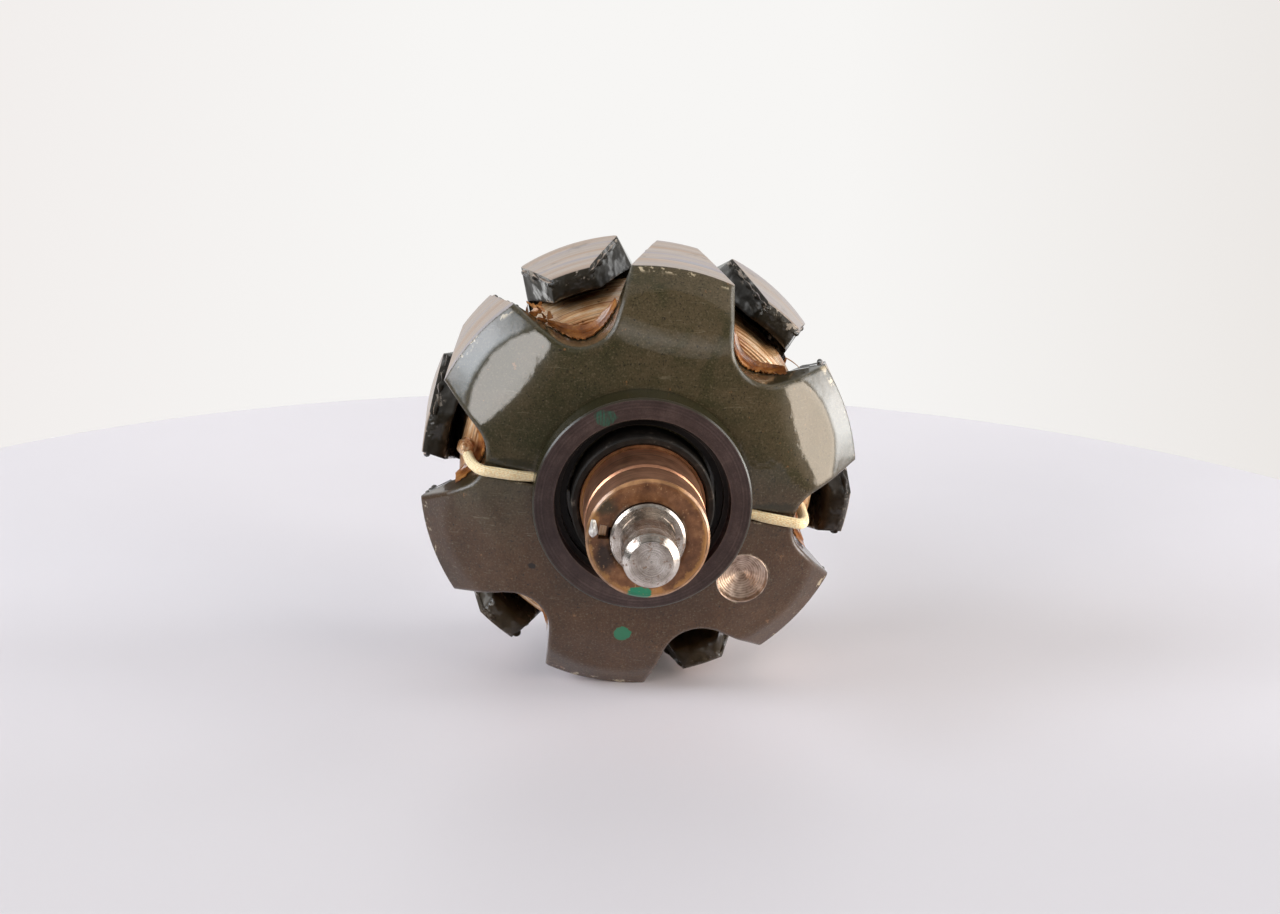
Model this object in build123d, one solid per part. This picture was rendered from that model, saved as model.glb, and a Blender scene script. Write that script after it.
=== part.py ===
from build123d import *
import os
from math import atan2, cos, degrees, hypot, radians, sin, tan

os.makedirs("parts", exist_ok=True)

# Claw pole rotor of a vehicle alternator, lying with its shaft along Y.
# The slip rings point towards minus Y and the pulley end towards plus Y.
# The origin is on the shaft axis at the drive end bearing shoulder.
# Angles run clockwise from the top as seen from the slip ring end.

# Pole wheels
rotor_radius = 52.5
claw_count = 6
claw_pitch = 360 / claw_count
claw_reach = 31.9
tip_setback = 4.0
tip_thickness = 5.6
claw_root_thickness = 7.9
claw_root_half_angle = 13.8
claw_tip_half_angle = 5.12
claw_root_round = 1.0
claw_taper_start = 1.0
face_rise = 10.3
hub_rise = 1.9
hub_flat_margin = 0.6
disc_web = 14.2
crease_inset = 0.4
rim_bevel = 4.6
bevel_round = 7.0
tip_edge_round = 2.0
notch_bottom_round = 9.2
notch_half_opening = 38
notch_edge_round = 1.2
crease_round = 20.0
cut_margin = 3.0
touch = 0.01

# Lead grooves and balance drilling in the slip end face
groove_width = 3.2
groove_depth = 2.9
groove_end_gap = 2.6
balance_drill_radius = 6.1
balance_drill_depth = 3.6
balance_point_depth = 2.6
balance_setback = 4.3

# Shaft
shaft_radius = 8.5
collar_radius = 12.0
collar_length = 7.0
collar_chamfer = 0.6
bearing_seat_length = 17.0
pulley_step = 0.5
pulley_seat_length = 23.0
relief_length = 2.0
relief_depth = 1.0
thread_step = 1.0
thread_length = 18.0
thread_chamfer = 1.2
centre_drill_radius = 2.4
centre_drill_depth = 2.6
shoulder_chamfer = 0.6
shoulder_proud = 1.5
nose_step = 2.2
nose_chamfer = 1.48
nose_chamfer_length = 1.6
nose_length = 15.4

# Field coil on its bobbin round the core
fit_gap = 0.3
core_setback = 25.5
insulation_thickness = 0.8
insulation_overhang = 0.9
flange_thickness = 1.2
flange_overhang = 0.4
bobbin_wall = 1.2
winding_clearance = 1.4
winding_edge_round = 1.2

# Sleeved leads
sleeve_radius = 1.3
sleeve_floor_gap = 0.1
sleeve_notch_gap = 1.8
sleeve_bend = 3.0
left_lead_lag = 2.5

# Labyrinth ring
labyrinth_hub_gap = 0.8
labyrinth_floor_width = 1.7
labyrinth_step_width = 1.4
labyrinth_wall = 5.05
labyrinth_web = 2.06
labyrinth_step_depth = 2.0
labyrinth_mouth_depth = 4.5
labyrinth_edge = 0.4

# Slip ring stack
hub_collar_wall = 1.8
hub_collar_lip = 1.0
hub_collar_edge = 0.4
hub_foot_margin = 0.7
hub_foot_height = 9.0
hub_recess = 0.4
slip_ring_radius = 14.0
slip_ring_wall = 2.7
slip_ring_edge = 0.5
inner_ring_length = 14.0
spacer_setback = 0.9
spacer_length = 1.2
outer_ring_length = 10.0
terminal_slot_width = 3.2
terminal_slot_depth = 3.0
terminal_width = 2.4
terminal_thickness = 1.6
terminal_shaft_gap = 0.6

# The rotor lies on the two claw corners beside a gap at its drive end
rest_gap_pitches = 5.5
rest_gap_angle = rest_gap_pitches * claw_pitch + claw_root_half_angle - claw_tip_half_angle
first_claw_angle = 180 - rest_gap_angle / 2
left_lead_angle = first_claw_angle + 270 - left_lead_lag
right_lead_angle = first_claw_angle + 90
balance_place_angle = first_claw_angle + 2 * claw_pitch
terminal_angle = left_lead_angle

# Stations along the shaft
drive_face = -collar_length
dome_rise = face_rise + hub_rise
drive_rim = drive_face - dome_rise
slip_rim = drive_rim - claw_reach - tip_setback
slip_face = slip_rim - dome_rise
slip_inside = slip_face + disc_web
drive_inside = drive_face - disc_web

# Apex of a notch, whose straight flanks meet the rotor surface at half of the gap between claws
flare = radians(notch_half_opening)
root_gap = radians(claw_pitch / 2 - claw_root_half_angle)
tip_gap = radians(claw_pitch / 2 - claw_tip_half_angle)
notch_apex_radius = rotor_radius * (cos(root_gap) - sin(root_gap) / tan(flare))
tip_apex_radius = rotor_radius * (cos(tip_gap) - sin(tip_gap) / tan(flare))

# Radii that follow from the sizes above
bore_radius = shaft_radius + fit_gap
claw_root_radius = rotor_radius - claw_root_thickness
notch_bottom_radius = notch_apex_radius + notch_bottom_round * (1 / sin(flare) - 1)
crease_radius = notch_bottom_radius - crease_inset
core_radius = rotor_radius - core_setback
balance_place_radius = crease_radius - balance_setback
insulation_radius = notch_bottom_radius + insulation_overhang
flange_radius = notch_bottom_radius + flange_overhang
winding_radius = claw_root_radius - winding_clearance
sleeve_drop_radius = notch_bottom_radius + sleeve_notch_gap + sleeve_radius
hub_radius = slip_ring_radius - slip_ring_wall - fit_gap
hub_foot_radius = slip_ring_radius + hub_foot_margin
hub_collar_inner_radius = hub_foot_radius + fit_gap
hub_collar_radius = hub_collar_inner_radius + hub_collar_wall
spacer_radius = slip_ring_radius - spacer_setback
labyrinth_web_radius = hub_collar_radius + labyrinth_hub_gap
labyrinth_step_radius = labyrinth_web_radius + labyrinth_floor_width
labyrinth_mouth_radius = labyrinth_step_radius + labyrinth_step_width
labyrinth_radius = labyrinth_mouth_radius + labyrinth_wall
hub_flat_radius = labyrinth_radius + hub_flat_margin
sleeve_inner_radius = labyrinth_web_radius
groove_inner_radius = sleeve_inner_radius - groove_end_gap
nose_radius = shaft_radius - nose_step
nose_flat_radius = nose_radius - nose_chamfer
pulley_seat_radius = shaft_radius - pulley_step
thread_radius = pulley_seat_radius - thread_step
relief_radius = thread_radius - relief_depth
terminal_inner_radius = bore_radius + terminal_shaft_gap

# Heights of the slip ring stack above the flat of the slip end wheel
labyrinth_height = labyrinth_web + labyrinth_step_depth + labyrinth_mouth_depth
hub_collar_height = hub_foot_height + hub_collar_lip
stack_height = hub_foot_height + inner_ring_length + spacer_length + outer_ring_length
hub_height = stack_height - hub_recess
shoulder_from_face = hub_height + shoulder_proud
nose_end_from_face = shoulder_from_face + nose_length


def turned(points):
    return revolve(make_face(Polyline(*points, close=True)), axis=Axis.Y)


def placed(shape, angle):
    return Rot(0, angle, 0) * shape


def placed_from_side(shape, angle):
    return Rot(0, angle - 90, 0) * shape


# Blank of a pole wheel with its rim plane at zero and claws towards plus Y
def wheel_blank():
    inside = disc_web - dome_rise
    dome_slope = hub_rise / (crease_radius - hub_flat_radius)
    dome_edge = (rotor_radius - crease_radius - face_rise) / (1 - dome_slope)
    outline = Polyline(
        (bore_radius, -dome_rise),
        (hub_flat_radius, -dome_rise),
        (crease_radius + dome_edge, dome_edge * dome_slope - face_rise),
        (rotor_radius, 0),
        (rotor_radius, claw_reach),
        (rotor_radius - tip_thickness, claw_reach),
        (claw_root_radius, inside),
        (bore_radius, inside),
        close=True,
    )
    section = make_face(outline)
    root_corner = section.vertices().sort_by_distance((claw_root_radius, inside))[0]
    return revolve(fillet(root_corner, claw_root_round), axis=Axis.Y)


# Tool that cuts one notch: upright through the disc, then leaning in to taper the claws
def notch_cutter():
    shift = notch_apex_radius - tip_apex_radius
    top = rotor_radius + shift + cut_margin
    reach = (top - notch_apex_radius) * tan(flare)
    outline = make_face(Polyline((0, notch_apex_radius), (reach, top), (-reach, top), close=True))
    lowest = outline.vertices().sort_by(Axis.Y)[0]
    outline = fillet(lowest, notch_bottom_round)
    standing = Pos(0, claw_taper_start, 0) * (Plane.XZ * outline)
    front = extrude(standing, amount=claw_taper_start + dome_rise + cut_margin, dir=(0, -1, 0))
    taper_length = claw_reach - claw_taper_start
    length = taper_length + cut_margin
    lean = shift * length / taper_length
    slanted = Vector(0, length, -lean)
    back = extrude(standing, amount=slanted.length, dir=slanted)
    return front + back


def slope_cutter():
    arm_slope = (face_rise - rim_bevel) / (rotor_radius - rim_bevel - crease_radius)
    near = crease_radius - cut_margin
    far = rotor_radius + cut_margin
    outline = Polyline(
        (near, (near - crease_radius) * arm_slope - face_rise),
        (far, (far - crease_radius) * arm_slope - face_rise),
        (far, -dome_rise - cut_margin),
        (near, -dome_rise - cut_margin),
        close=True,
    )
    return extrude(make_face(outline), amount=rotor_radius / 2, both=True)


# Whether an edge of a wheel is the crease where an arm starts to slope back
def is_crease(edge):
    middle = edge @ 0.5
    level = abs(middle.Y + face_rise) < touch
    reach = abs(hypot(middle.X, middle.Z) - crease_radius) < touch
    return level and reach


# Whether an edge of a wheel is the line where a sloping arm meets the bevel of the rim
def is_bevel_line(edge):
    middle = edge @ 0.5
    level = abs(middle.Y + rim_bevel) < touch
    reach = abs(hypot(middle.X, middle.Z) - rotor_radius + rim_bevel) < touch
    return level and reach


# Whether an edge runs round the end of a claw
def is_tip_edge(edge):
    return all(abs(point.Y - claw_reach) < touch for point in (edge @ 0, edge @ 0.5, edge @ 1))


# Whether a point lies on the outline of the nearest notch, seen along the shaft
def on_notch(point):
    turn = degrees(atan2(point.X, point.Z)) % claw_pitch - claw_pitch / 2
    radius = hypot(point.X, point.Z)
    side = abs(radius * sin(radians(turn)))
    height = radius * cos(radians(turn))
    from_flank = side * cos(flare) - (height - notch_apex_radius) * sin(flare)
    centre = notch_apex_radius + notch_bottom_round / sin(flare)
    from_round = hypot(side, height - centre) - notch_bottom_round
    straight = side > notch_bottom_round * cos(flare) - touch
    return abs(from_flank) < touch if straight else abs(from_round) < touch


# Whether an edge is the front edge of a notch, from the flat out to the rim
def is_notch_front(edge):
    points = [edge @ 0, edge @ 0.5, edge @ 1]
    in_front = max(point.Y for point in points) < touch
    across = hypot(points[0].X - points[2].X, points[0].Z - points[2].Z) > touch
    return in_front and across and all(on_notch(point) for point in points)


def pole_wheel():
    wheel = wheel_blank()
    notch = notch_cutter()
    slope = slope_cutter()
    for number in range(claw_count):
        angle = number * claw_pitch
        wheel = wheel - placed_from_side(slope, angle)
        wheel = wheel - placed(notch, angle + claw_pitch / 2)
    creases = wheel.edges().filter_by(is_crease)
    wheel = fillet(creases, crease_round)
    wheel = fillet(wheel.edges().filter_by(is_bevel_line), bevel_round)
    notch_fronts = wheel.edges().filter_by(is_notch_front)
    wheel = fillet(notch_fronts, notch_edge_round)
    return fillet(wheel.edges().filter_by(is_tip_edge), tip_edge_round)


plain_wheel = pole_wheel()

# Slip end pole wheel with its two lead grooves and the balance drilling
slip_wheel = Pos(0, slip_rim, 0) * placed(plain_wheel, first_claw_angle)
groove_length = rotor_radius - groove_inner_radius
groove_middle = (rotor_radius + groove_inner_radius) / 2
groove = Pos(groove_middle, slip_face, 0) * Box(groove_length, 2 * groove_depth, groove_width)
for lead_angle in (left_lead_angle, right_lead_angle):
    slip_wheel = slip_wheel - placed_from_side(groove, lead_angle)
drill = turned([
    (0, -cut_margin),
    (balance_drill_radius, -cut_margin),
    (balance_drill_radius, balance_drill_depth),
    (0, balance_drill_depth + balance_point_depth),
])
drill_x = balance_place_radius * sin(radians(balance_place_angle))
drill_z = balance_place_radius * cos(radians(balance_place_angle))
slip_wheel = slip_wheel - Pos(drill_x, slip_face, drill_z) * drill

# Drive end pole wheel, the same forging turned to face the other way and half a pitch round
turned_wheel = mirror(plain_wheel, about=Plane.XZ)
drive_wheel = Pos(0, drive_rim, 0) * placed(turned_wheel, first_claw_angle + claw_pitch / 2)

# Shaft with journal nose, stop collar, bearing seat, pulley seat and thread blank
shoulder = slip_face - shoulder_from_face
nose_end = slip_face - nose_end_from_face
pulley_end = bearing_seat_length + pulley_seat_length
thread_start = pulley_end + relief_length
thread_end = thread_start + thread_length
shaft = turned([
    (0, nose_end),
    (nose_flat_radius, nose_end),
    (nose_radius, nose_end + nose_chamfer_length),
    (nose_radius, shoulder),
    (shaft_radius - shoulder_chamfer, shoulder),
    (shaft_radius, shoulder + shoulder_chamfer),
    (shaft_radius, drive_face),
    (collar_radius - collar_chamfer, drive_face),
    (collar_radius, drive_face + collar_chamfer),
    (collar_radius, -collar_chamfer),
    (collar_radius - collar_chamfer, 0),
    (shaft_radius, 0),
    (shaft_radius, bearing_seat_length),
    (pulley_seat_radius, bearing_seat_length),
    (pulley_seat_radius, pulley_end),
    (relief_radius, pulley_end),
    (relief_radius, thread_start),
    (thread_radius, thread_start),
    (thread_radius, thread_end - thread_chamfer),
    (thread_radius - thread_chamfer, thread_end),
    (centre_drill_radius, thread_end),
    (0, thread_end - centre_drill_depth),
])

# Steel core between the two wheels
core = turned([
    (bore_radius, slip_inside),
    (core_radius, slip_inside),
    (core_radius, drive_inside),
    (bore_radius, drive_inside),
])

# Insulation discs against the inner faces of the wheels
disc_bore = core_radius + fit_gap
slip_insulation = turned([
    (disc_bore, slip_inside),
    (insulation_radius, slip_inside),
    (insulation_radius, slip_inside + insulation_thickness),
    (disc_bore, slip_inside + insulation_thickness),
])
drive_insulation = turned([
    (disc_bore, drive_inside),
    (insulation_radius, drive_inside),
    (insulation_radius, drive_inside - insulation_thickness),
    (disc_bore, drive_inside - insulation_thickness),
])

# Bobbin with two flanges
slip_flange = slip_inside + insulation_thickness
drive_flange = drive_inside - insulation_thickness
drum_radius = disc_bore + bobbin_wall
bobbin = turned([
    (disc_bore, slip_flange),
    (flange_radius, slip_flange),
    (flange_radius, slip_flange + flange_thickness),
    (drum_radius, slip_flange + flange_thickness),
    (drum_radius, drive_flange - flange_thickness),
    (flange_radius, drive_flange - flange_thickness),
    (flange_radius, drive_flange),
    (disc_bore, drive_flange),
])

# Field winding between the flanges, its outer edges softly rounded
winding_start = slip_flange + flange_thickness
winding_end = drive_flange - flange_thickness
winding_bore = drum_radius + fit_gap
winding_section = make_face(Polyline(
    (winding_bore, winding_start),
    (winding_radius, winding_start),
    (winding_radius, winding_end),
    (winding_bore, winding_end),
    close=True,
))
outer_corners = winding_section.vertices().sort_by(Axis.X)[2:]
winding = revolve(fillet(outer_corners, winding_edge_round), axis=Axis.Y)

# Sleeved leads from the coil face over the notch bottom and along the grooves
sleeve_level = slip_face + groove_depth - sleeve_floor_gap - sleeve_radius
sleeve_path = FilletPolyline(
    (sleeve_inner_radius, sleeve_level),
    (sleeve_drop_radius, sleeve_level),
    (sleeve_drop_radius, winding_start),
    radius=sleeve_bend,
)
sleeve_section = Plane(origin=sleeve_path @ 0, z_dir=sleeve_path % 0) * Circle(sleeve_radius)
sleeve = sweep(sleeve_section, path=sleeve_path)
left_sleeve = placed_from_side(sleeve, left_lead_angle)
right_sleeve = placed_from_side(sleeve, right_lead_angle)

# Labyrinth ring standing on the flat of the slip end wheel
labyrinth_face = slip_face - labyrinth_height
labyrinth_step = labyrinth_face + labyrinth_mouth_depth
labyrinth_floor = labyrinth_step + labyrinth_step_depth
labyrinth = turned([
    (labyrinth_web_radius, slip_face),
    (labyrinth_radius, slip_face),
    (labyrinth_radius, labyrinth_face + labyrinth_edge),
    (labyrinth_radius - labyrinth_edge, labyrinth_face),
    (labyrinth_mouth_radius, labyrinth_face),
    (labyrinth_mouth_radius, labyrinth_step),
    (labyrinth_step_radius, labyrinth_step),
    (labyrinth_step_radius, labyrinth_floor),
    (labyrinth_web_radius, labyrinth_floor),
])

# Plastic collar round the foot of the slip ring hub
hub_collar_face = slip_face - hub_collar_height
hub_collar = turned([
    (hub_collar_inner_radius, slip_face),
    (hub_collar_radius, slip_face),
    (hub_collar_radius, hub_collar_face + hub_collar_edge),
    (hub_collar_radius - hub_collar_edge, hub_collar_face),
    (hub_collar_inner_radius + hub_collar_edge, hub_collar_face),
    (hub_collar_inner_radius, hub_collar_face + hub_collar_edge),
])

# Slip ring hub with a foot that carries the rings and a slot for the terminal
hub_end = slip_face - hub_height
hub_foot = slip_face - hub_foot_height
hub = turned([
    (bore_radius, slip_face),
    (hub_foot_radius, slip_face),
    (hub_foot_radius, hub_foot),
    (hub_radius, hub_foot),
    (hub_radius, hub_end),
    (bore_radius, hub_end),
])
slot_reach = hub_radius + cut_margin
slot = Pos(slot_reach / 2, hub_end, 0) * Box(slot_reach, 2 * terminal_slot_depth, terminal_slot_width)
hub = hub - placed_from_side(slot, terminal_angle)

# Slip rings and the insulating spacer between them, stacked on the foot of the hub
ring_bore = hub_radius + fit_gap
inner_ring_end = hub_foot - inner_ring_length
spacer_end = inner_ring_end - spacer_length
outer_ring_end = spacer_end - outer_ring_length


def slip_ring(back, front):
    return turned([
        (ring_bore, back),
        (slip_ring_radius - slip_ring_edge, back),
        (slip_ring_radius, back - slip_ring_edge),
        (slip_ring_radius, front + slip_ring_edge),
        (slip_ring_radius - slip_ring_edge, front),
        (ring_bore, front),
    ])


inner_ring = slip_ring(hub_foot, inner_ring_end)
outer_ring = slip_ring(spacer_end, outer_ring_end)
spacer = turned([
    (ring_bore, inner_ring_end),
    (spacer_radius, inner_ring_end),
    (spacer_radius, spacer_end),
    (ring_bore, spacer_end),
])

# Terminal strip lying on the floor of the slot in the hub
terminal_length = hub_radius - terminal_inner_radius
terminal_middle = (hub_radius + terminal_inner_radius) / 2
terminal_level = hub_end + terminal_slot_depth - terminal_thickness / 2
strip = Pos(terminal_middle, terminal_level, 0) * Box(terminal_length, terminal_thickness, terminal_width)
terminal = placed_from_side(strip, terminal_angle)

nodes = {
    "shaft": shaft,
    "slip_end_pole_wheel": slip_wheel,
    "drive_end_pole_wheel": drive_wheel,
    "pole_core": core,
    "slip_end_insulation": slip_insulation,
    "drive_end_insulation": drive_insulation,
    "coil_bobbin": bobbin,
    "field_winding": winding,
    "left_lead_sleeve": left_sleeve,
    "right_lead_sleeve": right_sleeve,
    "labyrinth_ring": labyrinth,
    "hub_collar": hub_collar,
    "slip_ring_hub": hub,
    "inner_slip_ring": inner_ring,
    "outer_slip_ring": outer_ring,
    "slip_ring_spacer": spacer,
    "terminal_strip": terminal,
}
for name, shape in nodes.items():
    export_step(shape, "parts/" + name + ".step")
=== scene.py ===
import bpy
import math
import random
from mathutils import Matrix, Vector


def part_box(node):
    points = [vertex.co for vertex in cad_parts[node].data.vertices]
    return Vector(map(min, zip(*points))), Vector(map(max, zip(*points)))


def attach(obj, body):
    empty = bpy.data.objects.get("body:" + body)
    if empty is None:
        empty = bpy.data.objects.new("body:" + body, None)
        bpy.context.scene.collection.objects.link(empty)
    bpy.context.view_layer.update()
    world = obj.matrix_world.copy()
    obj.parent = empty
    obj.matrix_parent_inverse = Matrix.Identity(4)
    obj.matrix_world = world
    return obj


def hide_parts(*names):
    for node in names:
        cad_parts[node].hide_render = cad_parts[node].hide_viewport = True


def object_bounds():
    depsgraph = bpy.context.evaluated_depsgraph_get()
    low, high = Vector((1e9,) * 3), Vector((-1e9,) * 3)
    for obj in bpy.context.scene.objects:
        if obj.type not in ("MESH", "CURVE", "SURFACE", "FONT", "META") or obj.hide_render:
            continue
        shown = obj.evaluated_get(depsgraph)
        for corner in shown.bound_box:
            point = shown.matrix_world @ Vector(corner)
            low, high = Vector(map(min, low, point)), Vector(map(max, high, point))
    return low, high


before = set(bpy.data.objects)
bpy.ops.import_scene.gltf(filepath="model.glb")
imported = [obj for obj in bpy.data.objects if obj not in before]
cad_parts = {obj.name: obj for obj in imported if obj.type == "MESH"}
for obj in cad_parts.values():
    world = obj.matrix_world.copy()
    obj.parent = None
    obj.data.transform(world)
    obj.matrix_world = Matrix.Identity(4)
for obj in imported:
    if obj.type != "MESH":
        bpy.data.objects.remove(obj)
cad_low, cad_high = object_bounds()
chance = random.Random(11)

MM = 0.001

# Main sizes of the rotor in millimetres, and angles in degrees
# Angles run clockwise from the top, as seen from the slip rings
CLAWS = 6
CLAW_PITCH = 60
CLAW_REACH = 31.9
FACE_RISE = 12.2
FIRST_CLAW = 10.66
LEFT_LEAD = FIRST_CLAW + 267.5
RIGHT_LEAD = FIRST_CLAW + 90
DRILL_ANGLE = FIRST_CLAW + 120
DRILL_PLACE = 32.7
HUB_FLAT = 26.35
DOME_SLOPE = 0.178
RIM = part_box("slip_end_pole_wheel")[1].y / MM - CLAW_REACH
BACK_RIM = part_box("drive_end_pole_wheel")[0].y / MM + CLAW_REACH
FACE = RIM - FACE_RISE
RING_FRONT = FACE - 8.56
SLIP_FRONT = FACE - 34.2
SHOULDER = FACE - 35.3
FLOOR = cad_low.z / MM

# Green paint marks, the pit in the face drawn as a spot of painted shade, and the dark smears on the slip
# ring
# A smear is (x, z, half width, half height, colour)
PAINT_DOT = Vector((-3.6, RIM - 9.9, -35.9))
PAINT_RING = Vector((-9.2, RING_FRONT, 20.9))
PAINT_SLIP = Vector((-1.7, SLIP_FRONT, -12.8))
PAINT_SLIP_SIZE = (2.7, 2.0, 1.5)
PAINT_SLIP_GREEN = (0.014, 0.16, 0.085)
PIT_SHADE = Vector((-25.5, FACE + 0.8, -18.5))
SMEARS = [(-9.4, -4.3, 2.2, 3.4, (0.008, 0.006, 0.006)), (-10.0, 7.7, 2.4, 1.9, (0.030, 0.026, 0.014))]
SMEAR_DEPTH = 2.5


def around(radius, station, angle):
    turn = math.radians(angle)
    return Vector((radius * math.sin(turn), station, radius * math.cos(turn)))


def axes_at(angle):
    """Directions outwards and sideways at an angle round the shaft."""
    turn = math.radians(angle)
    outward = Vector((math.sin(turn), 0, math.cos(turn)))
    across = Vector((math.cos(turn), 0, -math.sin(turn)))
    return outward, across


class Graph:
    """Nodes of a surface finish or of the surroundings."""

    def __init__(self, tree):
        self.tree = tree

    def put(self, socket, value):
        if isinstance(value, bpy.types.NodeSocket):
            self.tree.links.new(value, socket)
        else:
            socket.default_value = value

    def add(self, kind, inputs, **settings):
        node = self.tree.nodes.new(kind)
        for key, value in settings.items():
            setattr(node, key, value)
        for key, value in inputs.items():
            self.put(node.inputs[key], value)
        return node

    def math(self, operation, first, second=0.0):
        return self.add("ShaderNodeMath", {0: first, 1: second}, operation=operation).outputs[0]

    def plus(self, first, second):
        return self.math("ADD", first, second)

    def minus(self, first, second):
        return self.math("SUBTRACT", first, second)

    def times(self, first, second):
        return self.math("MULTIPLY", first, second)

    def vector(self, operation, *values):
        node = self.add("ShaderNodeVectorMath", dict(enumerate(values)), operation=operation)
        return node.outputs["Value" if operation in ("LENGTH", "DOT_PRODUCT") else "Vector"]

    def band(self, value, low, high, form="SMOOTHSTEP"):
        """Share that rises from 0 at the low value to 1 at the high one."""
        inputs = {"Value": value, "From Min": low, "From Max": high}
        return self.add("ShaderNodeMapRange", inputs, interpolation_type=form).outputs[0]

    def ramp(self, value, stops):
        node = self.add("ShaderNodeValToRGB", {"Fac": value})
        points = node.color_ramp.elements
        while len(points) < len(stops):
            points.new(0.5)
        for point, (position, colour) in zip(points, stops):
            point.position = position
            point.color = (*colour, 1.0)
        return node.outputs["Color"]

    def mix(self, share, first, second, way="MIX"):
        node = self.add("ShaderNodeMix", {}, data_type="RGBA", blend_type=way)
        self.put(node.inputs[0], share)
        for index, value in ((6, first), (7, second)):
            self.put(node.inputs[index], (*value, 1.0) if isinstance(value, tuple) else value)
        return node.outputs[2]

    def blend(self, share, first, second):
        node = self.add("ShaderNodeMix", {0: share, 2: first, 3: second}, data_type="FLOAT")
        return node.outputs[0]


class Look(Graph):
    """Graph of one surface finish, laid out in the coordinates of the object."""

    def __init__(self, name):
        self.material = bpy.data.materials.new(name)
        self.material.use_nodes = True
        super().__init__(self.material.node_tree)
        self.shader = self.tree.nodes["Principled BSDF"]
        self.place = self.add("ShaderNodeTexCoord", {}).outputs["Object"]
        split = self.add("ShaderNodeSeparateXYZ", {"Vector": self.place})
        self.x, self.y, self.z = split.outputs
        square = self.plus(self.math("POWER", self.x, 2.0), self.math("POWER", self.z, 2.0))
        self.radius = self.math("SQRT", square)

    def noise(self, scale, detail=3.0, roughness=0.5, place=None, distortion=0.0):
        inputs = {
            "Vector": place or self.place,
            "Scale": scale,
            "Detail": detail,
            "Roughness": roughness,
            "Distortion": distortion,
        }
        return self.add("ShaderNodeTexNoise", inputs).outputs["Fac"]

    def stretch(self, x, y, z):
        return self.add("ShaderNodeMapping", {"Vector": self.place, "Scale": (x, y, z)}).outputs[0]

    def rings(self, across, along):
        """Place by radius and station alone, so that a noise runs in rings round the shaft."""
        inputs = {"X": self.times(self.radius, across), "Y": self.times(self.y, along)}
        return self.add("ShaderNodeCombineXYZ", inputs).outputs[0]

    def spot(self, centre, size, ragged, soft=0.08):
        """Spot with a ragged edge, its centre and half sizes in millimetres."""
        offset = self.vector("SUBTRACT", self.place, Vector(centre) * MM)
        length = self.vector("LENGTH", self.vector("DIVIDE", offset, Vector(size) * MM))
        wobble = self.times(self.minus(self.noise(900, 3), 0.5), ragged)
        return self.band(self.plus(length, wobble), 1 + soft, 1 - soft)

    def soft_edges(self, width):
        return self.add("ShaderNodeBevel", {"Radius": width}, samples=4).outputs[0]

    def true_normal(self):
        return self.add("ShaderNodeNewGeometry", {}).outputs["Normal"]

    def edge(self, soft, low, high):
        """Share that is 1 at the edges, where the softened normal leaves the true one."""
        return self.band(self.vector("DOT_PRODUCT", soft, self.true_normal()), high, low)

    def outward(self):
        """How far the surface faces away from the shaft axis."""
        flat = self.add("ShaderNodeCombineXYZ", {"X": self.x, "Z": self.z}).outputs[0]
        return self.vector("DOT_PRODUCT", self.vector("NORMALIZE", flat), self.true_normal())

    def bump(self, height, depth, strength=1.0, under=None):
        inputs = {"Height": height, "Distance": depth, "Strength": strength}
        if under:
            inputs["Normal"] = under
        return self.add("ShaderNodeBump", inputs).outputs[0]

    def finish(self, **inputs):
        for key, value in inputs.items():
            socket = self.shader.inputs[key.replace("_", " ")]
            self.put(socket, (*value, 1.0) if isinstance(value, tuple) else value)
        return self.material


def wheel_varnish(look, patches):
    """Olive varnish, brown on the lower half as a painted reflection of the table, with grit, specks, rust
    and faint scratches.
    """
    mottle = look.noise(300, 5, 0.65)
    grain = look.noise(2300, 3, 0.6)
    tone = look.plus(look.times(patches, 0.55), look.times(mottle, 0.25))
    tone = look.plus(tone, look.times(grain, 0.20))
    varnish = look.ramp(tone, [
        (0.34, (0.022, 0.021, 0.008)),
        (0.45, (0.040, 0.034, 0.015)),
        (0.54, (0.056, 0.042, 0.020)),
        (0.66, (0.078, 0.056, 0.030)),
    ])
    pool = look.band(look.noise(90, 3, 0.5, distortion=0.8), 0.50, 0.68)
    varnish = look.mix(look.times(pool, 0.7), varnish, (0.026, 0.025, 0.008))
    # Brown for the lower half of the wheel: a painted reflection of the table
    brown = look.ramp(tone, [
        (0.36, (0.033, 0.014, 0.003)),
        (0.50, (0.052, 0.021, 0.005)),
        (0.66, (0.082, 0.037, 0.013)),
    ])
    level = look.plus(look.z, look.times(look.minus(patches, 0.5), 0.05))
    varnish = look.mix(look.band(level, 0.010, -0.012), varnish, brown)
    grit = look.noise(2100, 3, 0.7)
    varnish = look.mix(look.band(grit, 0.52, 0.74), varnish, (0.105, 0.082, 0.050))
    varnish = look.mix(look.band(grit, 0.46, 0.28), varnish, (0.012, 0.010, 0.005))
    specks = look.band(look.noise(1500, 2, 0.5), 0.66, 0.72)
    varnish = look.mix(specks, varnish, (0.012, 0.010, 0.006))
    rust = look.band(look.noise(420, 4, 0.62), 0.68, 0.73)
    varnish = look.mix(rust, varnish, (0.16, 0.080, 0.032))
    scratch = look.band(look.noise(1.0, 2, 0.5, look.stretch(170, 300, 2000), 1.2), 0.62, 0.72)
    scratch = look.times(scratch, look.band(look.noise(75, 2, 0.5), 0.50, 0.60))
    return look.mix(look.times(scratch, 0.32), varnish, (0.20, 0.17, 0.115))


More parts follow.
